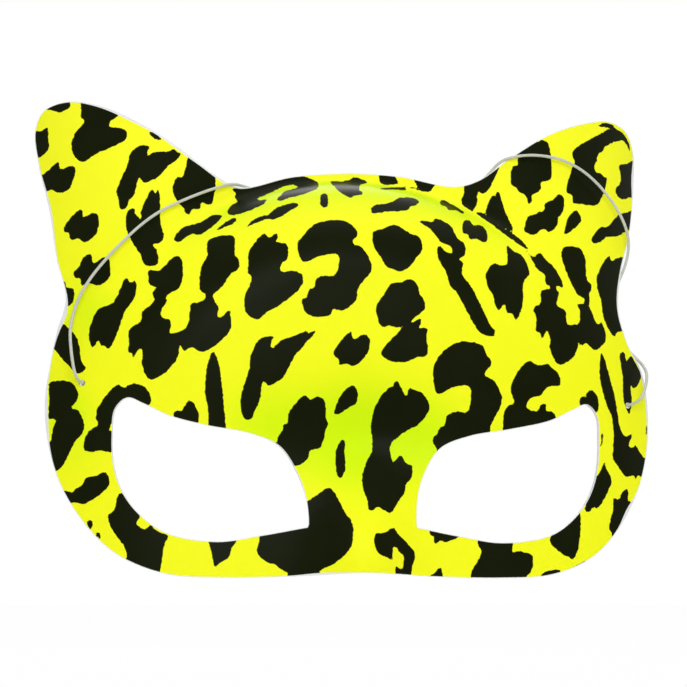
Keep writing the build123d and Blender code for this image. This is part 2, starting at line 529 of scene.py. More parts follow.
def nearest_on(loops):
    """A finder of the nearest point of the loops."""
    points = np.concatenate(loops)
    tree = kdtree.KDTree(len(points))
    for i, (x, z) in enumerate(points):
        tree.insert((x, z, 0), i)
    tree.balance()
    return tree


print("nearest corner", nearest_on([square]).find((4, -1, 0))[0].xy[:])

# %% [markdown]
# ## The cut sheet
# The outline needs few points, since a cut-out has long easy bends. Both sides
# have the same points with sizes of their own, because the edge was trimmed by
# hand. A place and its mirror image differ by a few millimetres.

# %% One side of the cut edge
ear_height = 119.46
waist_height = 51.0
cheek_height = 17.0
jaw_depth = 39.2


def half_edge(notch_height, slope, ear, waist, cheek):
    """From the crown out over the ear and the cheek to the middle below."""
    return [
        (0, crown_height), (18.5, (crown_height + notch_height) / 2 + 1.45),
        (37, notch_height), (45, (notch_height + ear_height) / 2 - 11),
        (slope, ear_height - 16.3), (slope + 13.4, ear_height - 7.8),
        (ear - 21, ear_height - 2), (ear - 10, ear_height), (ear - 2.7, ear_height - 2.7),
        (ear, ear_height - 9.5), (ear - 1.2, ear_height - 22), (ear - 4.6, ear_height - 38),
        (waist + 2.8, waist_height + 14), (waist, waist_height),
        (waist + 2.8, waist_height - 11), (cheek - 1.7, cheek_height + 13),
        (cheek, cheek_height), (cheek - 1.2, cheek_height - 14),
        (cheek - 5.2, cheek_height - 27), (cheek - 12.5, cheek_height - 39),
        (cheek - 21, 8.5 - jaw_depth), (cheek - 30, 3.6 - jaw_depth),
        (cheek - 40, 0.8 - jaw_depth), (cheek - 56, -jaw_depth),
        (cheek - 78, 0.4 - jaw_depth), (0, 1.6 - jaw_depth),
    ]


def mirrored(places):
    return [(-x, z) for x, z in reversed(places)]


left_edge = mirrored(half_edge(90.3, 57.8, 104.2, 94.6, 101.0))
right_edge = half_edge(93.0, 56.0, 105.2, 91.9, 102.2)
print("each side has", len(left_edge), "points")

# %% [markdown]
# The eye openings have a sharp inner corner and an easy round outer one, and
# their outer corners set how wide they are. The strap holes are plain punched
# circles, one a little lower than the other.

# %% The openings
hole_wide = 2.0
left_hole, right_hole = (-89.5, 23.0), (93.5, 18.5)


def eye(half):
    """One eye opening, from its inner corner up, over and back below."""
    return [
        (18, -23), (18.4, -13.5), (21.2, -5), (26.5, 2.8), (36, 6.8), (50, 9.3),
        (half - 18, 12.3), (half - 9.5, 16.2), (half - 4.5, 18), (half - 0.8, 14.5),
        (half, 6), (half - 0.7, -4), (half - 3.7, -12.5), (half - 9.5, -19.8),
        (half - 18, -25.3), (47, -27.7), (32, -25.6), (18.4, -23.05),
    ]


def ring(centre, wide):
    turns = np.linspace(0, 2 * math.pi, 48, endpoint=False)
    return np.array(centre) + np.stack([np.cos(turns), np.sin(turns)], 1) * wide / 2


cut_edge = smooth_through(right_edge + left_edge[1:-1], 0.1)
openings = [smooth_through(mirrored(eye(80.0)), 0.1), smooth_through(eye(81.6), 0.1),
            ring(left_hole, hole_wide), ring(right_hole, hole_wide)]
print("cut edge", len(cut_edge), "points, openings", [len(loop) for loop in openings])

# %% [markdown]
# The blank could be filled from its outline, but long thin triangles bend badly.
# A fine grid bends smoothly, so the grid comes first, still finer round the strap
# holes, which are small beside its cells.

# %% A grid of small cells
cell = 0.74
width, height, middle = 216, 168, 41
fine_reach, fine_cuts = 2.1, 4


def fine_grid():
    """A flat grid that covers the whole sheet, finer at the strap holes."""
    bm = bmesh.new()
    bmesh.ops.create_grid(bm, x_segments=int(width / cell), y_segments=int(height / cell),
                          size=0.5)
    bmesh.ops.scale(bm, verts=bm.verts, vec=(width, height, 1))
    bmesh.ops.translate(bm, verts=bm.verts, vec=(0, middle, 0))
    for hole in (left_hole, right_hole):
        close = [f for f in bm.faces
                 if (f.calc_center_median().xy - Vector(hole)).length < fine_reach]
        bmesh.ops.subdivide_edges(bm, edges=list({e for f in close for e in f.edges}),
                                  cuts=fine_cuts, use_grid_fill=True)
    bm.verts.ensure_lookup_table()
    return bm


def places_of(bm):
    """How far across and how far up each vertex of a flat grid lies."""
    return (np.array([v.co.x for v in bm.verts]), np.array([v.co.y for v in bm.verts]))


blank = fine_grid()
print("grid of", len(blank.faces), "cells")

# %% [markdown]
# Then the sheet is cut. Faces that lie wholly outside are deleted, and a vertex
# outside, or very close to the cut, is moved onto the nearest point of it. Cutting
# with a boolean would be exact too, but it leaves slivers along the edge, and
# slivers show as creases once the sheet is bent.

# %% The blank
close_share, fine_share, weld_share = 0.3, 0.05, 0.12


def cut(bm):
    """Bring the grid's border onto the cut lines."""
    x, z = places_of(bm)
    kept = inside(cut_edge, x, z)
    for loop in openings:
        kept &= ~inside(loop, x, z)
    tree = nearest_on([cut_edge, *openings])
    nearest = [tree.find((v.co.x, v.co.y, 0)) for v in bm.verts]
    away = np.array([found[2] for found in nearest])
    fine = np.zeros(len(x), bool)
    for hole in (left_hole, right_hole):
        fine |= np.hypot(x - hole[0], z - hole[1]) < 0.75 * hole_wide
    kept &= away > np.where(fine, fine_share, close_share) * cell
    lost = [f for f in bm.faces if not any(kept[v.index] for v in f.verts)]
    for f in bm.faces:
        for v in f.verts:
            if not kept[v.index]:
                v.co = nearest[v.index][0]
    bmesh.ops.delete(bm, geom=lost, context="FACES")
    bmesh.ops.remove_doubles(bm, verts=bm.verts, dist=weld_share * cell)


cut(blank)
print("cells", len(blank.faces), "corners", len(blank.verts))

# %% [markdown]
# ## The spots
# The print is a common leopard pattern: black rosettes, broken rings and small
# flecks on yellow. Each is an outline on the flat sheet, in millimetres across
# and up. Some run past the cut edge, because the sheet was printed before it was
# cut. Left is the reader's left. They are listed in six groups, and the first
# has some of the longest spots, with ragged tips.

# %% Spots on the left ear and cheek
left_side_spots = [
    [(-101.6, 117.6), (-99.9, 118.6), (-98, 120.6), (-93.6, 120.6), (-93.1, 117.5), (-96.4, 115.9),
     (-99.3, 117)],
    [(-89.2, 119.8), (-78, 116.6), (-77.5, 113.9), (-80.1, 111.7), (-80.2, 110.1), (-75.8, 109.1),
     (-74.6, 107.3), (-75.2, 105.3), (-84.9, 100.4), (-89.1, 97.9), (-92.4, 101.4), (-91.8, 107.3),
     (-88.5, 112.3), (-89.6, 113.6), (-89.3, 116)],
    [(-107.5, 109.9), (-102.4, 109.8), (-100.3, 110.8), (-100, 107.3), (-99.9, 103.3),
     (-102.9, 100.4), (-107.5, 99.8)],
    [(-104.5, 94.4), (-101.8, 94.3), (-96.8, 98.4), (-96.1, 95.8), (-92.7, 96.7), (-91.4, 95.8),
     (-93.3, 88.9), (-95.2, 87.5), (-97.7, 87.9), (-98.9, 88.9), (-100.6, 88.3), (-104, 88.6)],
    [(-95, 75.6), (-90, 81.4), (-89.2, 80.9), (-88.9, 78.8), (-85.3, 80), (-84.1, 78.4),
     (-85, 72.8), (-88.4, 70), (-90.6, 71.3), (-92.5, 70.9), (-93.4, 71.9), (-93.6, 73.4),
     (-94.8, 73.9)],
    [(-73.9, 100.1), (-69.9, 103.4), (-66.9, 102.5), (-67.9, 101.5), (-67.8, 99.6), (-66.4, 100.8),
     (-60.8, 101.6), (-59, 102.4), (-58.3, 101.3), (-57, 101), (-58, 98.9), (-61.1, 96.4),
     (-65.5, 91.7), (-69.6, 90.4), (-70.8, 92), (-72.7, 86.1), (-74.3, 83.9), (-75.5, 81.4),
     (-77.1, 81.1), (-77.7, 84.5), (-78.3, 87), (-74.3, 97.6)],
    [(-67.4, 108.1), (-65.6, 107.8), (-63.1, 105.5), (-64.9, 105.5), (-66.7, 106.6)],
    [(-66.6, 87.9), (-65.9, 86.3), (-64.7, 88), (-64.1, 75.6), (-63.4, 71.9), (-64.4, 69.4),
     (-67, 68.9), (-65.9, 67.2), (-65.8, 61.9), (-69.7, 61.9), (-70.9, 65), (-75.3, 73.8),
     (-75, 80.1), (-72.9, 81.3), (-72.5, 79.7), (-70.4, 77.2), (-70.6, 80)],
    [(-92.1, 60), (-90.3, 61.9), (-89.1, 64.7), (-86.7, 65.8), (-85.8, 62.8), (-82.2, 64.7),
     (-80.9, 63.4), (-80.9, 58.1), (-82.5, 55.9), (-85, 55.1), (-87.2, 55.9), (-89.7, 55.3),
     (-90.1, 57.5), (-91.6, 58.1)],
    [(-98, 57), (-95, 57), (-94.3, 55), (-92.2, 54.1), (-92.8, 49.1), (-98, 48)],
    [(-75.6, 57.8), (-74.6, 56.1), (-72.8, 56.3), (-72.8, 51.8), (-76.5, 45.5), (-79, 38),
     (-81.6, 33.8), (-82.4, 34.9), (-83.7, 35), (-84.5, 36.8), (-86.3, 34.6), (-87.4, 39.3),
     (-84.6, 47.1), (-79.9, 49.3)],
    [(-95.3, 42.7), (-93.7, 41.1), (-91, 37.4), (-89.6, 29.9), (-88.4, 27.8), (-90.6, 26.1),
     (-97.1, 33), (-99.5, 37), (-97.5, 42)],
    [(-99.8, 23.3), (-93, 23.4), (-90.6, 18.6), (-92.6, 15), (-90.9, 14.3), (-88.7, 9.3),
     (-89.3, 6.8), (-91.2, 4.6), (-96.6, -5), (-99.5, -5), (-100.5, 2), (-98.9, 5.2), (-98.4, 8.6),
     (-97.7, 11.4), (-99.8, 11.6), (-99.8, 13), (-99.8, 22)],
    [(-68.3, 16), (-69, 20.6), (-73.1, 22.7), (-76.8, 21.4), (-78.4, 22.4), (-84, 16.1),
     (-85.2, 12), (-84.5, 9.6), (-87.8, 6.8), (-88.7, 1.5), (-85.9, 0.8), (-83.7, 1.3), (-80, 0.8),
     (-80.1, 7.3), (-81, 7.7), (-77, 14)],
    [(-61, 13), (-59.6, 14.1), (-58.5, 13.9), (-55.9, 17.4), (-52.9, 13), (-53.4, 9.5), (-57, 9)],
    [(-48.6, 32.9), (-47.1, 30.5), (-44.3, 9.9), (-44.3, 7), (-49, 7), (-49.9, 14.3), (-51, 20.5),
     (-49.9, 30.5)],
]
print("left side", len(left_side_spots))

# %% [markdown]
# On the steep shoulder of the dome the sheet is stretched upwards and seen at a
# slant, so the flecks up there look thin from the front. They are drawn as flat
# and thin as they look, because the outlines are seen from the front too.

# %% Spots on the left brow and the dome's left half
left_brow_spots = [
    [(-59.7, 64.7), (-58.1, 63.4), (-59.1, 53.8), (-61.9, 52.2), (-63.6, 50.3), (-64.5, 48.5),
     (-66.5, 49.2), (-67.5, 52.5), (-66.4, 53.8), (-68.4, 55.1), (-68.4, 60), (-65.6, 59.7)],
    [(-66.5, 50.3), (-67.8, 48.6), (-70.9, 45.8), (-71.2, 43), (-74.9, 40.2), (-75.1, 34.9),
     (-75.4, 32.8), (-74.1, 32.5), (-73.7, 31.1), (-71.8, 33.9), (-70.9, 33.5), (-71, 28.6),
     (-68.1, 23.8), (-60.3, 29.9), (-59, 34.8), (-57.8, 33.1), (-55.6, 34.3), (-51.8, 32.9),
     (-43.2, 40), (-43.2, 44.7), (-43.4, 46.3), (-46.6, 43.9), (-47.4, 44.7), (-46.9, 46.6),
     (-48.3, 49.7), (-49, 51.5), (-50.5, 52), (-51.6, 49.8), (-53.5, 48.8), (-55.4, 48.6),
     (-56.5, 42.1), (-57.8, 40.2), (-62.3, 39), (-62, 41.4), (-62.4, 43.3), (-64.3, 43.8),
     (-65.2, 45.2), (-63, 50)],
    [(-41.3, 71.3), (-41.3, 65), (-40, 62.5), (-40.6, 60), (-43.4, 57.8), (-45, 55), (-48.7, 51.4),
     (-49.6, 50), (-50.8, 51.6), (-52.5, 52.5), (-52.2, 60), (-50, 65), (-50, 68.1),
     (-48.8, 70.6)],
    [(-53.6, 101.5), (-50, 97.5), (-45.6, 94.8), (-47.2, 83.6), (-50.3, 84.1), (-50.9, 81.9),
     (-53.8, 81.3), (-54.5, 79.8), (-55.9, 80), (-56.3, 81.9), (-57.8, 83.1), (-60, 88.1),
     (-58.1, 92.8), (-56.6, 92.5)],
    [(-60, 70.6), (-56.9, 75), (-51.3, 76.9), (-45.9, 79.9), (-44.1, 79.1), (-51.9, 72.2),
     (-54.4, 72.5), (-59, 69.5)],
    [(-46.9, 73.3), (-41.3, 78), (-39.8, 78.2), (-40, 76.9), (-45, 74.1)],
    [(-39.5, 89.5), (-35, 91), (-30, 93.4), (-20, 95.8), (-14, 95.4), (-10, 93.1), (-11.9, 89.7),
     (-22.5, 85.5), (-25, 84.7), (-25.8, 85.3), (-23.8, 87.2), (-22.5, 88.8), (-17.5, 90.9),
     (-17.3, 91.7), (-20, 91.9), (-29.4, 87.2), (-31.6, 85.9), (-30.9, 85.2), (-28.8, 85.8),
     (-30, 83.8), (-40, 79.4), (-42.2, 80.1), (-40, 83.8), (-38.1, 85), (-38.8, 86.6),
     (-38.4, 88)],
    [(-9.5, 87.8), (-10, 82.5), (-11.4, 81.8), (-12.2, 82.8), (-11.3, 86.9)],
    [(-37.5, 74.3), (-33.1, 78.1), (-29.4, 79.4), (-26.9, 81.6), (-20, 83.6), (-19.4, 82.5),
     (-21.3, 81.3), (-27.5, 77.5), (-30.6, 77.4)],
    [(-31.6, 72.2), (-30.3, 70.9), (-27.9, 72.1), (-27.3, 71.3), (-28, 69.4), (-24.7, 68.4),
     (-25, 63.1), (-26.3, 62.2), (-26.9, 59.5), (-22.5, 59.5), (-20.3, 58.4), (-19.9, 55.3),
     (-28.5, 47.5), (-31, 46.3), (-34.4, 43.6), (-38.2, 45.6), (-38.6, 50.6), (-36.4, 56.9),
     (-37.5, 59.1), (-37.2, 62.5), (-36.9, 65.6)],
    [(-20, 70.6), (-14.4, 75.9), (-5, 76.9), (-1.4, 73.1), (-1.9, 71.3), (-3.2, 70), (-2.8, 68.9),
     (-0.3, 67.8), (2.8, 60.9), (-1.6, 54.4), (-2.3, 50.6), (-6.6, 47), (-9.8, 47.2), (-11, 45.3),
     (-17.3, 45), (-19.1, 46.3), (-19.9, 50.4), (-18.5, 50.9), (-17.9, 53.4), (-16, 54.4),
     (-15.4, 57.2), (-13.5, 58.1), (-10.4, 58.1), (-8.8, 59.2), (-8.4, 65.2), (-13.8, 64.7),
     (-19.7, 62.7), (-21.3, 68.8)],
    [(-5.5, 94.1), (-5, 88.8), (-1.6, 85.9), (-0.1, 86.9), (1.9, 87.2), (3.3, 88.4), (2.4, 89.1),
     (3.8, 92.2), (7.2, 94.1), (2.5, 95.6), (1.3, 94.7), (-3.8, 93.9)],
]
print("left brow", len(left_brow_spots))

# %% [markdown]
# The bridge has few spots, with plain yellow between them. A spot could be a
# ready circle pushed about, but its points would then lie where they aren't
# needed. Here the points lie close together only at the tips.

# %% Spots on the nose bridge
nose_spots = [
    [(-9.4, 33.8), (-4.1, 40.1), (-3.1, 37.9), (0.6, 39.4), (2.1, 38.1), (1.5, 33.1), (-2.9, 29.1),
     (-5.7, 29.7), (-7.6, 29.4), (-7.9, 31.3), (-9.2, 31.9)],
    [(-28.5, 38.2), (-29.8, 37.2), (-29.9, 34.6), (-29.2, 34.5), (-27.6, 36.3), (-21, 39.1),
     (-18.1, 40.3), (-18.3, 39.3), (-15.6, 40.1), (-22.3, 31.9), (-26, 25), (-30.7, 22.3),
     (-32.3, 23.6), (-33.5, 16.9), (-34.8, 14.4), (-36, 11.5), (-37.9, 11.3), (-39.6, 16.9),
     (-36.9, 28.1), (-36.5, 31.9), (-33.5, 37.2)],
    [(-18.5, 19.4), (-16.9, 18.1), (-14.1, 19.1), (-11.9, 17.5), (-11.4, 13), (-10.6, 10.5),
     (-11.3, 8.3), (-13.1, 2.7), (-16.6, 1.6), (-16.9, -0.4), (-20.7, -3.4), (-23.4, -2),
     (-25.5, -1), (-29, 2.8), (-27.6, 4.2), (-27.2, 6.1), (-25.9, 8), (-25.3, 9.9), (-24.1, 10.2),
     (-23.8, 13.6)],
    [(-2.6, 22.7), (-1.1, 20), (-1.5, 17.2), (-3.5, 15.9), (-7.3, 13.6), (-8.6, 13.9), (-6, 20.9)],
    [(-5.9, 5.4), (-5, 5.2), (-5, 0.5), (-5.1, -3.9), (-6.8, -7.3), (-7.8, -6.4), (-7.8, 1.8)],
    [(10.7, 24.3), (11.6, 24.4), (14.8, 19.8), (15.7, 22.3), (16.9, 21.9), (20.1, 20.6),
     (22.6, 16.1), (19.1, 10.5), (15.6, 8.6), (10.3, 3.9), (10.9, -1.7), (13.6, 0.5), (15, -2),
     (16.9, -2.9), (16.6, -6.7), (14.7, -8.9), (13.8, -12), (11.3, -15.1), (8.6, -18.3),
     (4.1, -16.5), (2.8, -17.6), (1.1, -17.3), (1.3, -15.1), (0.3, -12), (0.1, -7), (2.5, -0.8),
     (3.8, 1.1), (4.3, 5.5), (3.8, 9.3), (4.8, 16.3), (8.5, 21.9), (10.3, 22.8)],
]
print("nose", len(nose_spots))

# %% [markdown]
# A broken ring is one outline that goes round outside and comes back inside, like
# the letter C. That is simpler than cutting a hole in a spot.

# %% Spots on the dome's right half and the right brow
right_brow_spots = [
    [(4.1, 81.3), (5.6, 83.1), (10, 84.1), (13.4, 85.6), (15, 86.8), (21.6, 87.2), (22.2, 85.6),
     (18.1, 83.1), (16.6, 81.9), (9.4, 80.9), (4.4, 80.1)],
    [(11.6, 94.1), (13.1, 93.3), (17.8, 94.1), (16.3, 97), (11.9, 97.5)],
    [(9.7, 90.3), (10.6, 91.1), (20.3, 92.4), (20.3, 91.6), (14.4, 90.9)],
    [(23.4, 96.8), (30.6, 95.2), (28.4, 91.3), (20, 93.1), (25, 92.5), (24.1, 93.4)],
    [(30.6, 85.3), (31.3, 87.5), (32.8, 88.1), (34.4, 86.9), (36.3, 85.9), (37.5, 84.4),
     (38.8, 83.3), (37.8, 82.5), (35.6, 83.8), (32.5, 83.4), (32.2, 85)],
    [(40, 93.8), (40, 95.5), (45, 98.5), (49, 102), (53, 103.5), (48.1, 92.2), (45.9, 90.3),
     (44.5, 91.3), (43.8, 87.2), (42, 84.1), (38.6, 87.2), (39.7, 90.6)],
    [(49.3, 89.8), (49.9, 88.9), (50.2, 90.5), (51.1, 91.4), (52.8, 84.4), (54.7, 76.9),
     (46.9, 82), (46.4, 83.8)],
    [(43, 83.5), (44.7, 83.8), (50, 79.3), (56.9, 74.1), (59.5, 70.1), (52.5, 74.7), (48.1, 78.8)],
    [(36.9, 79.4), (39.4, 79.9), (40, 78), (42.8, 78.4), (44.4, 76.6), (43.8, 72.2), (41.9, 71.8),
     (39.7, 72.8), (37.5, 72.5), (36.9, 74.4), (35.3, 74.5)],
    [(51.3, 71.6), (53.1, 69.4), (55.9, 68.1), (58, 61.9), (55.3, 58.1), (54.1, 50), (51.6, 45.3),
     (50.4, 47.2), (48.8, 47.5), (47.6, 50.3), (45.7, 48.4), (44.4, 50), (44, 52.8), (42, 56.3),
     (41.8, 60.6), (45, 64.3), (47.8, 63.8), (49.7, 64.3)],
    [(20.1, 78), (25, 78.1), (26.6, 79.3), (31.3, 76.9), (33.1, 72.2), (35, 70.9), (35, 66.9),
     (32.5, 65), (33.8, 64.1), (33.3, 60), (36.6, 55.3), (42.6, 43.4), (44.1, 41.6), (44, 39.9),
     (39.8, 40.3), (31, 53.8), (29.1, 55.6), (28.1, 59.4), (25.3, 65), (25.1, 68.1), (26.1, 69.3),
     (28.4, 67.2), (30.3, 67.2), (30, 69.4), (26.9, 70.6), (23.8, 75)],
    [(3.9, 73.1), (6.9, 74.3), (11.6, 76.1), (16.3, 73.3), (18.8, 72.5), (20, 70.9), (19.9, 67.5),
     (17.5, 64.4), (15.6, 61.9), (11.9, 60.1), (10, 60.9), (7.8, 61.6), (5.6, 65), (3.8, 68.1)],
    [(9.1, 55.9), (12.3, 56.6), (15.4, 57.6), (17.6, 56.6), (18.8, 53.1), (20.4, 50.3),
     (20.4, 48.1), (16.5, 44.4), (15.2, 42.5), (13.3, 42.3), (11.3, 41.8), (8.8, 42.4),
     (6.3, 41.9), (4.3, 48.1), (7.3, 53.1)],
    [(19.1, 44.8), (19.3, 43.4), (18.6, 41.6), (20.1, 41.9), (21.3, 41.3), (21, 38.8), (21.6, 35),
     (20.7, 32.6), (17.9, 32.2), (14.1, 30.6), (7.9, 31.3), (6.1, 33.4), (12.9, 41.6), (14, 43),
     (15.9, 43.4)],
    [(23.8, 30), (31, 37.2), (39.8, 36.6), (41.3, 33.8), (43, 30.6), (40.9, 27.8), (41.1, 26.6),
     (44.1, 25), (46.8, 18.8), (43.2, 10.6), (42.5, 7.5), (30, 3), (25.3, 1), (25.3, 2.4),
     (23.9, 4.9), (24.3, 6.8), (25.3, 7.4), (25.9, 9.3), (27.5, 10.2), (28.4, 13.6), (32.3, 15),
     (34.3, 14.4), (35.5, 15.3), (35.5, 23.1), (30.1, 22.7), (25.1, 20.5)],
    [(55.9, 31.9), (59.3, 30.6), (62.8, 31.1), (64.6, 29.6), (66.8, 27.7), (67.1, 24.3),
     (64, 23.8), (61.8, 22.7), (60.3, 20.6), (57.1, 19.9), (55.3, 16.8), (59, 15.5), (60.9, 18),
     (62.1, 17.7), (62.4, 15.8), (64.6, 15.5), (66, 11.5), (55, 8.5), (47.4, 7.5), (47.4, 9.4),
     (47.8, 15.5), (49.3, 17.1), (51, 18), (49.9, 21.8), (50.6, 25.5)],
]
print("right brow", len(right_brow_spots))

# %% [markdown]
# The right side isn't the left one mirrored. The real pattern doesn't repeat from
# side to side, so each spot is drawn by itself.

# %% Spots on the right ear and cheek
right_side_spots = [
    [(58.1, 69.7), (59.4, 68.4), (61.3, 67.8), (62.2, 69.1), (63.4, 69.4), (65, 67.2),
     (67.5, 64.7), (70.4, 58.8), (70, 57.6), (67.8, 57.8), (67.5, 55.9), (64.9, 56), (65.1, 57.5),
     (64.2, 57.8), (63.6, 58.8), (63.8, 61.3), (60.9, 63.8), (60, 66.3)],
    [(61.6, 55.6), (64.7, 56.6), (66, 56.2), (68.4, 55.8), (67.2, 51.3), (70.3, 49.1), (70.6, 45),
     (74.7, 44.9), (77, 44), (77.5, 39.5), (74.6, 38.8), (74, 36.8), (72.1, 33.6), (66.8, 31.1),
     (63.5, 36.8), (64, 39.3), (62.4, 42.4), (61.8, 40.8), (60.6, 39.3), (60.3, 41.1),
     (58.9, 41.8), (59, 46.1), (58.3, 49.9), (60.9, 51.3)],
    [(75.3, 51.9), (79.4, 51.9), (82.4, 45.8), (83.4, 45.5), (84, 46.8), (85.8, 42.4),
     (85.3, 39.9), (80.9, 36.6), (77.4, 38.8), (75.9, 37.9), (73, 42), (75.6, 46.3), (75.8, 50)],
    [(80.3, 53.1), (80.3, 55.9), (81.3, 57.5), (81.3, 59.4), (80, 60.6), (79.7, 69.4),
     (78.1, 71.9), (73.1, 72.2), (71.3, 70.6), (71.1, 67.5), (75.6, 55.6), (78.1, 54.1),
     (77.8, 52.2), (78.5, 51.3)],
    [(74.4, 18), (74.6, 20.2), (75.9, 20.8), (76.6, 20.5), (77.1, 22.1), (78.7, 23), (81.5, 20.5),
     (80.9, 14.9), (80.3, 15.5), (79, 15), (77, 16.5)],
    [(83.4, 35.8), (87.8, 22.4), (90.3, 10.2), (92.1, 8.1), (94.6, 8.9), (94.8, 8), (93.4, 5.2),
     (94, 4.4), (95.6, 4.6), (96.2, 5.1), (99.5, 1.4), (102, 0.5), (101, -4), (98.5, -5.5),
     (97.1, -4.8), (96.2, -6.4), (95.3, -5.1), (92.1, -5.4), (88.4, -1.4), (87.1, 0.2),
     (87.4, 8.6), (86.5, 14.9), (84.9, 18), (82.4, 26.8)],
    [(92.1, 36.8), (93.4, 36), (94, 33.3), (94.9, 34.9), (96.2, 35.6), (98.4, 32.4), (100.3, 29.6),
     (96.5, 24.4), (95.1, 25.6), (95.3, 19.9), (93.9, 15.8), (91.8, 20.5), (91.8, 28),
     (91.2, 35.8)],
    [(90, 70.1), (90.9, 68.4), (93.1, 69.7), (98, 70), (96, 60), (94, 50), (94.5, 43.8),
     (92.5, 43.8), (90.3, 43.1), (89.4, 41.8), (86.9, 44.4), (85.3, 48.8), (84.9, 53.8),
     (83.8, 57.5), (84.1, 62.5)],
    [(78.5, 105.1), (79.3, 107.3), (91.8, 115.1), (94.6, 116.7), (100.2, 116.7), (103.6, 112.9),
     (103.5, 109.8), (101.1, 113.3), (92.7, 110.1), (91.1, 108.3), (88.9, 106.4), (88.3, 104.2),
     (87.2, 102.6), (87.7, 100.1), (89.6, 99.8), (90.8, 98.8), (91.9, 98.3), (86.8, 88.3),
     (79.3, 87.8), (77.3, 87.9), (77.1, 90.4), (75.2, 91.7), (78, 100.4), (79.3, 102.9)],
    [(106.5, 106.5), (103.6, 106.3), (101.8, 105.1), (98, 103.9), (98.3, 99.5), (97.7, 97.3),
     (95.2, 94.5), (96.1, 92.3), (98, 91.5), (103.3, 93.1), (106.5, 93.5)],
    [(83.1, 75.1), (88, 80.4), (89.9, 80.4), (96.1, 85.8), (99.9, 87), (105, 89.3), (103.5, 85),
     (102, 80.5), (99.6, 80.4), (94.3, 77.6), (89.3, 76.7), (86.8, 74.8), (83.9, 74)],
    [(58.8, 105.8), (63.9, 109.2), (66.1, 109.5), (67.4, 110.1), (69.6, 109.2), (69.6, 96.4),
     (68, 95.1), (66.1, 94.8), (65.8, 92.6), (64.3, 90.8), (62.3, 89.8), (62.1, 87.6),
     (61.1, 86.9), (60.2, 89.8), (58.3, 91.1), (57.1, 92.6), (55.6, 93.9), (56.6, 100.1),
     (58.3, 100.8)],
    [(72.4, 90.8), (73.8, 89.5), (73.3, 85.1), (71.1, 82), (70.5, 79.5), (67.1, 77), (66.1, 77.9),
     (64.3, 77.6), (62.4, 75.9), (58.9, 77), (60.8, 82.6), (62.7, 83.1), (64.6, 84.2),
     (66.1, 84.5), (66.8, 87), (69.6, 88.6)],
    [(78.3, 85.3), (79.8, 82), (72.9, 76.5), (73.9, 80.1), (74.9, 82.6)],
    [(82.4, 8.8), (83.4, 8.6), (82.9, 5), (82.1, 4.4), (82.6, 6.1)],
    [(100.9, 7.4), (100.8, 9.9), (101.4, 12.1), (101.6, 11.1), (101.4, 9.3)],
]
print("right side", len(right_side_spots))

# %% [markdown]
# Below the eyes the band is narrow, and most spots run over its edge. Their
# outlines go on past it, and the blank's own border cuts them off.

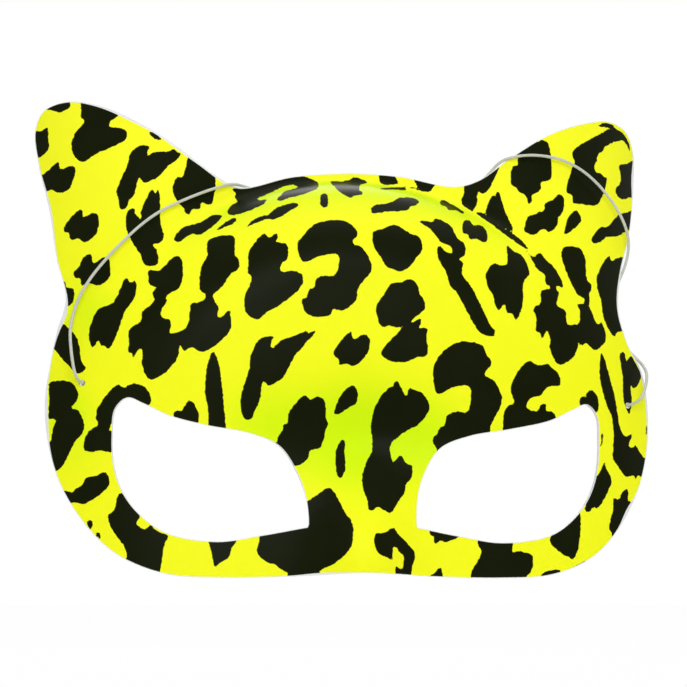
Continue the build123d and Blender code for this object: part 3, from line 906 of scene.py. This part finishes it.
# %% Spots below the eyes
below_eyes_spots = [
    [(-95.5, -11.8), (-92.1, -12), (-90.9, -10.8), (-89.3, -9.8), (-87.8, -7.5), (-85.3, -7),
     (-82.1, -5.8), (-80.7, -9.5), (-88.4, -15.8), (-91.5, -15.4), (-94, -15.6)],
    [(-77.3, -12.2), (-73.4, -17), (-71, -19.7), (-72, -22), (-69.9, -23.8), (-68.4, -23.2),
     (-67.9, -22.3), (-66.5, -23.9), (-62.3, -26.1), (-63.4, -28.9), (-66, -39.5), (-76, -35),
     (-75.1, -32.6), (-75.9, -29.5), (-79.6, -24.2), (-81, -19.5), (-79.3, -17.9)],
    [(-87.6, -22), (-86.8, -21.1), (-85.9, -21.4), (-85.8, -22.6), (-86.5, -24)],
    [(-84.9, -25.4), (-83.7, -25.1), (-83.3, -27.3), (-84.3, -26.5)],
    [(-49.5, -26.5), (-40, -25.5), (-42.1, -30.1), (-43.4, -33.3), (-45.3, -34.2), (-47.3, -35.6),
     (-48.7, -30.1)],
    [(-33.1, -26.1), (-33.9, -31.4), (-30.3, -34.4), (-28.4, -34.8), (-26.5, -36.5),
     (-24.6, -37.5), (-24, -40), (-14, -40), (-14.4, -37), (-10.9, -35.1), (-5.3, -29.8),
     (-4.1, -23.9), (-4.7, -20.8), (-6.3, -18.3), (-9.7, -11.1), (-10.9, -10.4), (-18.1, -14.8),
     (-20, -15.5), (-20, -22), (-33, -24.5)],
    [(2.9, -25.1), (5.6, -24.8), (9.4, -23.1), (10.3, -24.5), (16.6, -30.8), (16.8, -32.6),
     (15.9, -35.1), (15.5, -39.2), (15.5, -41), (9.5, -40), (9.7, -37.6), (9.8, -35.6),
     (12, -36.4), (12.5, -32), (11.3, -31.1), (10, -29.4), (8.9, -29.5), (8.3, -33.4),
     (5.9, -32.3), (3.1, -30.8)],
    [(22.1, -38.3), (23.7, -37.6), (24.6, -36.3), (25.9, -35.9), (26, -41), (21, -41)],
    [(22.8, -22.5), (31, -23), (32.9, -25.1), (27.1, -27.6), (25.9, -27), (24, -28.1),
     (23.4, -27.3), (23.7, -26.1), (22.1, -25)],
    [(38.7, -26), (50.4, -27.3), (50.4, -30.8), (52.4, -30.4), (57.1, -32), (56.8, -36.7),
     (54.9, -38.8), (54, -41), (36, -41), (36.2, -37.3), (39.3, -32), (39.6, -30.1),
     (38.7, -28.9)],
    [(63.4, -26.7), (69, -21.5), (73, -17), (74.3, -17.1), (73.4, -30.1), (71.2, -33.3),
     (70.4, -32.3), (68.4, -31.7)],
    [(79, -6.1), (80.9, -5.6), (84, -0.6), (84.3, -2.6), (86.4, -7), (80.9, -16.1), (79.3, -15.8),
     (78.1, -17.5), (76.5, -17), (78.1, -8.9)],
    [(87.4, -12.6), (89, -13.3), (90.3, -11.1), (92.3, -9.5), (93.1, -10.8), (92.8, -13.3),
     (94.5, -14.5), (86.5, -25.5), (86.2, -24.2), (85.3, -22.6), (86.8, -17)],
    [(59.8, -38.6), (61.6, -37.2), (64.5, -36.5), (66.9, -36.6), (66, -38.6)],
    [(69.3, -37.6), (71.2, -35.9), (74, -34.4), (76.3, -33.6), (75, -36.5)],
    [(90.3, 117.4), (93, 118.9), (96, 118.7), (98, 117.7), (94.3, 117.2)],
]
print("below eyes", len(below_eyes_spots))

# %% [markdown]
# The groups become one list. The order doesn't matter, because where two spots
# meet, the deeper one counts.

# %% All the spots
spots = (left_side_spots + left_brow_spots + nose_spots + right_brow_spots
         + right_side_spots + below_eyes_spots)
print("spots", len(spots))

# %% [markdown]
# ## The print on each vertex
# The print is measured on the flat blank, before it is moulded, as a real sheet is printed. Each
# vertex keeps how far inside a spot it lies, in millimetres, below zero outside every spot. A
# shader that asks where this passes zero draws an edge much finer than the cells. The same is done
# for the white margin, and for a painted shade worked out from the steepness of the mould, because
# the yellow ink looks greener on the steep walls, which turn from the light.

# %% How deep in a spot
ink_reach, ink_step = 2.0, 0.12


def ink_depth(x, z):
    """How deep each place lies in a spot, below zero outside every spot."""
    ink = np.full(len(x), -ink_reach)
    for places in spots:
        loop = smooth_through(places, ink_step)
        low, high = loop.min(0) - ink_reach, loop.max(0) + ink_reach
        near = np.flatnonzero((x > low[0]) & (x < high[0]) & (z > low[1]) & (z < high[1]))
        gap = np.hypot(x[near, None] - loop[:, 0], z[near, None] - loop[:, 1]).min(1)
        gap[~inside(loop, x[near], z[near])] *= -1
        ink[near] = np.maximum(ink[near], gap)
    return np.clip(ink, -ink_reach, ink_reach)


across, up = places_of(blank)
ink = ink_depth(across, up)
print("share of the sheet in black", round(float((ink > 0).mean()), 2))

# %% [markdown]
# The ink stops a little before the cut edge and the eye openings, and a white margin shows. It is
# wider in some places along the edge. An even margin would be one number. Here each wider place
# adds a soft round patch to it, which fades with distance.

# %% The white margin
margin_wide, margin_reach = 0.2, 2.0
margin_patches = [
    # across, up, how much wider, how far it reaches
    (-101, 13, 0.8, 9), (105, 100, 0.9, 7), (102, 22, 0.7, 12), (-96, 45, 1.1, 6),
    (93, -17, 0.9, 5), (-14, -38, 0.5, 8), (-100, 82, 0.4, 12), (-75, 113, 0.7, 12),
    (-56, 102, 0.7, 8), (-42, 93, 0.6, 6), (93, 60, 0.5, 11),
]


def patches_at(patches, x, z):
    """The sum of soft round patches at each place."""
    total = np.zeros(len(x))
    for px, pz, amount, reach in patches:
        total += amount * np.exp(-((x - px) ** 2 + (z - pz) ** 2) / reach ** 2)
    return total


def margin_gap(x, z):
    """How far each place is inside the white margin of the cut sheet."""
    tree = nearest_on([cut_edge, *openings[:2]])
    gap = np.array([tree.find((a, b, 0))[2] for a, b in zip(x, z)])
    return np.clip(gap - patches_at(margin_patches, x, z) - margin_wide,
                   -margin_reach, margin_reach)


margin = margin_gap(across, up)
print("share of the sheet in the margin", round(float((margin < 0).mean()), 3))

# %% [markdown]
# Neon yellow looks greener where the sheet turns away and where light falls short of it, as on the
# dome's steep wall and low on the forehead. This greener yellow is painted shade. A shader could
# tell it from the view, but the colour would then slide over the mask as one walks round it. So it
# is worked out once from the slope of the mould and painted in, with soft patches of painted shade
# in the hollows and in the elastic's shadow on the left cheek.

# %% The greener places, where shade is painted
slope_step, slope_share = 0.2, 0.6
painted_shade_patches = [
    # patches of painted shade, round the eyes, the nose and low on the forehead, and the elastic's
    # shadow on the left cheek: across, up, how much greener, how far it reaches
    (-86, 46, 0.22, 10), (-94, 15, 0.25, 9), (-90, 2, 0.16, 11), (-31, 8, 0.34, 20),
    (-2, 5, 0.34, 17), (24, 5, 0.36, 17), (54, 5, 0.22, 12), (2, 28, 0.12, 20),
]


def painted_shade_at(x, z):
    """Painted shade: 0 where the mould faces the front, more on its steep places, and more in the
    patches for the hollows and the elastic's shadow.
    """
    h = slope_step
    sideways = (front(x + h, z) - front(x - h, z)) / (2 * h)
    upwards = (front(x, z + h) - front(x, z - h)) / (2 * h)
    painted_shade = slope_share * (1 - 1 / np.sqrt(1 + sideways ** 2 + upwards ** 2))
    return np.clip(painted_shade + patches_at(painted_shade_patches, x, z), 0, 1)


# the painted shade for each vertex of the flat blank
painted_shade = painted_shade_at(across, up)
print("greenest place", round(float(painted_shade.max()), 2))

# %% [markdown]
# The three values go onto the vertices as layers, under the names that the printed
# finish asks for. A layer stays with its vertices when they move, which is why the
# flat sheet can be printed first and moulded afterwards.

# %% The print on each vertex
for name, values in (("ink", ink), ("margin", margin), ("painted_shade", painted_shade)):
    layer = blank.verts.layers.float.new(name)
    for v, value in zip(blank.verts, values):
        v[layer] = float(value)
    print(name, round(float(values.min()), 2), "to", round(float(values.max()), 2))

# %% [markdown]
# ## The moulded sheet
# Then the mould's formula gives each vertex its depth. A real sheet is heated and
# sucked onto its mould, and a cloth simulation could do that, but a formula puts
# every vertex where it belongs at once. The sheet gets its wall towards the
# wearer. New faces are the back and the cut edge, which stay white, so they take
# the second material.

# %% The moulded sheet
sharp_turn = 1.0    # an edge that turns more than this isn't smoothed, in radians


def mould(bm):
    """Move the flat sheet onto the mould and give it its wall."""
    for v in bm.verts:
        x, z = v.co.x, v.co.y
        v.co = Vector((x, float(front(x, z)), z)) * mm
    bmesh.ops.recalc_face_normals(bm, faces=bm.faces)
    fronts = bm.faces[:]
    if sum(f.normal.y for f in fronts) > 0:
        bmesh.ops.reverse_faces(bm, faces=fronts)
    was = set(fronts)
    bmesh.ops.solidify(bm, geom=fronts, thickness=sheet * mm)
    for f in bm.faces:
        f.smooth = True
        f.material_index = 0 if f in was else 1
    for e in bm.edges:
        if len(e.link_faces) == 2 and e.calc_face_angle(0) > sharp_turn:
            e.smooth = False


mould(blank)
mask_data = bpy.data.meshes.new("mask")
blank.to_mesh(mask_data)
mask_data.materials.append(printed)
mask_data.materials.append(bare)
print("mask has", len(mask_data.polygons), "faces, open edges",
      sum(len(e.link_faces) != 2 for e in blank.edges))
blank.free()
mask = bpy.data.objects.new("mask", mask_data)
bpy.context.collection.objects.link(mask)
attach(mask, body)
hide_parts("mask_shell")

# %% [markdown]
# ## Floor and backdrop
# A pale floor and a backdrop stand round the mask. More light would whiten them,
# but it would bleach the mask too. So rays from the camera, from gloss and through
# glass see them as plain white, and all other rays meet a matt pale surface. The
# floor keeps a little of the matt surface for the camera as well, which shows the
# mask's shadow.

# %% Floor and backdrop
room_white = (1, 1, 1, 1)


def seen_directly(wire):
    """1 for rays from the camera, from gloss and through glass, and 0 for others."""
    camera_ray, glossy, through = (
        wire.node("LightPath", {}, output=f"Is {kind} Ray")
        for kind in ("Camera", "Glossy", "Transmission"))
    return wire.math("MAXIMUM", wire.math("MAXIMUM", camera_ray, glossy), through)


def plain_white(name, share):
    """A matt pale finish that looks white, for this share, where it is seen directly."""
    finish, wire = new_finish(name)
    matt = wire.node("BsdfDiffuse", {"Color": (0.8, 0.8, 0.8, 1)})
    white = wire.node("Emission", {"Color": room_white})
    show(wire.node("MixShader", {0: seen_directly(wire) * share, 1: matt, 2: white}))
    return finish


def flat_board(name, size, place, tilt, finish):
    bm = bmesh.new()
    bmesh.ops.create_grid(bm, x_segments=1, y_segments=1, size=size / 2)
    bmesh.ops.rotate(bm, verts=bm.verts, cent=(0, 0, 0),
                     matrix=Matrix.Rotation(tilt, 3, "X"))
    bmesh.ops.translate(bm, verts=bm.verts, vec=place)
    data = bpy.data.meshes.new(name)
    bm.to_mesh(data)
    bm.free()
    data.materials.append(finish)
    board = bpy.data.objects.new(name, data)
    bpy.context.collection.objects.link(board)
    return board


floor = flat_board("floor", 6, (0, 0, -0.10), 0, plain_white("pale_floor", 0.98))
backdrop = flat_board("backdrop", 6, (0, 2.4, 0), math.radians(90),
                      plain_white("pale_backdrop", 1.0))
print("stage", floor.name, backdrop.name)

# %% [markdown]
# ## Light
# The world lights the mask evenly from all sides, at half strength, and looks as
# white as the backdrop. The lamps are large discs before, behind and above the
# mask, which keeps the light flat and soft, with one broad sheen on the dome.
# Small lamps would give hard spots of light on the ink.

# %% The world
world = bpy.data.worlds.new("room")
world.use_nodes = True
world.node_tree.nodes.clear()
bpy.context.scene.world = world
air = Wire(world.node_tree)
show(air.node("Background", {"Color": room_white,
                             "Strength": 0.5 + seen_directly(air) * 0.5}), "OutputWorld")
print("world", world.name)

# %% [markdown]
# A lamp shines along its own downward axis, so it is turned until that axis points
# at the mask. It is hidden from the camera, because the views from behind would
# show its disc.

# %% The lamps


def soft_lamp(name, power, size, place, target):
    data = bpy.data.lights.new(name, "AREA")
    data.shape = "DISK"
    data.size = size
    data.energy = power
    lamp = bpy.data.objects.new(name, data)
    lamp.location = place
    aim = Vector(target) - Vector(place)
    lamp.rotation_euler = aim.to_track_quat("-Z", "Y").to_euler()
    lamp.visible_camera = False
    bpy.context.collection.objects.link(lamp)


soft_lamp("front_lamp", 6.0, 0.7, (-0.08, -1.15, 0.42), (0, 0, 0.03))
soft_lamp("back_lamp", 4.0, 0.6, (0.1, 1.0, 0.6), (0, 0, 0.03))
soft_lamp("top_lamp", 1.6, 0.6, (0.1, -0.1, 0.9), (0, 0, 0.06))
bpy.context.scene.view_settings.view_transform = "Standard"

# %% [markdown]
# ## Last step
# Last, the view layer is brought up to date.

# %% Bringing the scene up to date
bpy.context.view_layer.update()
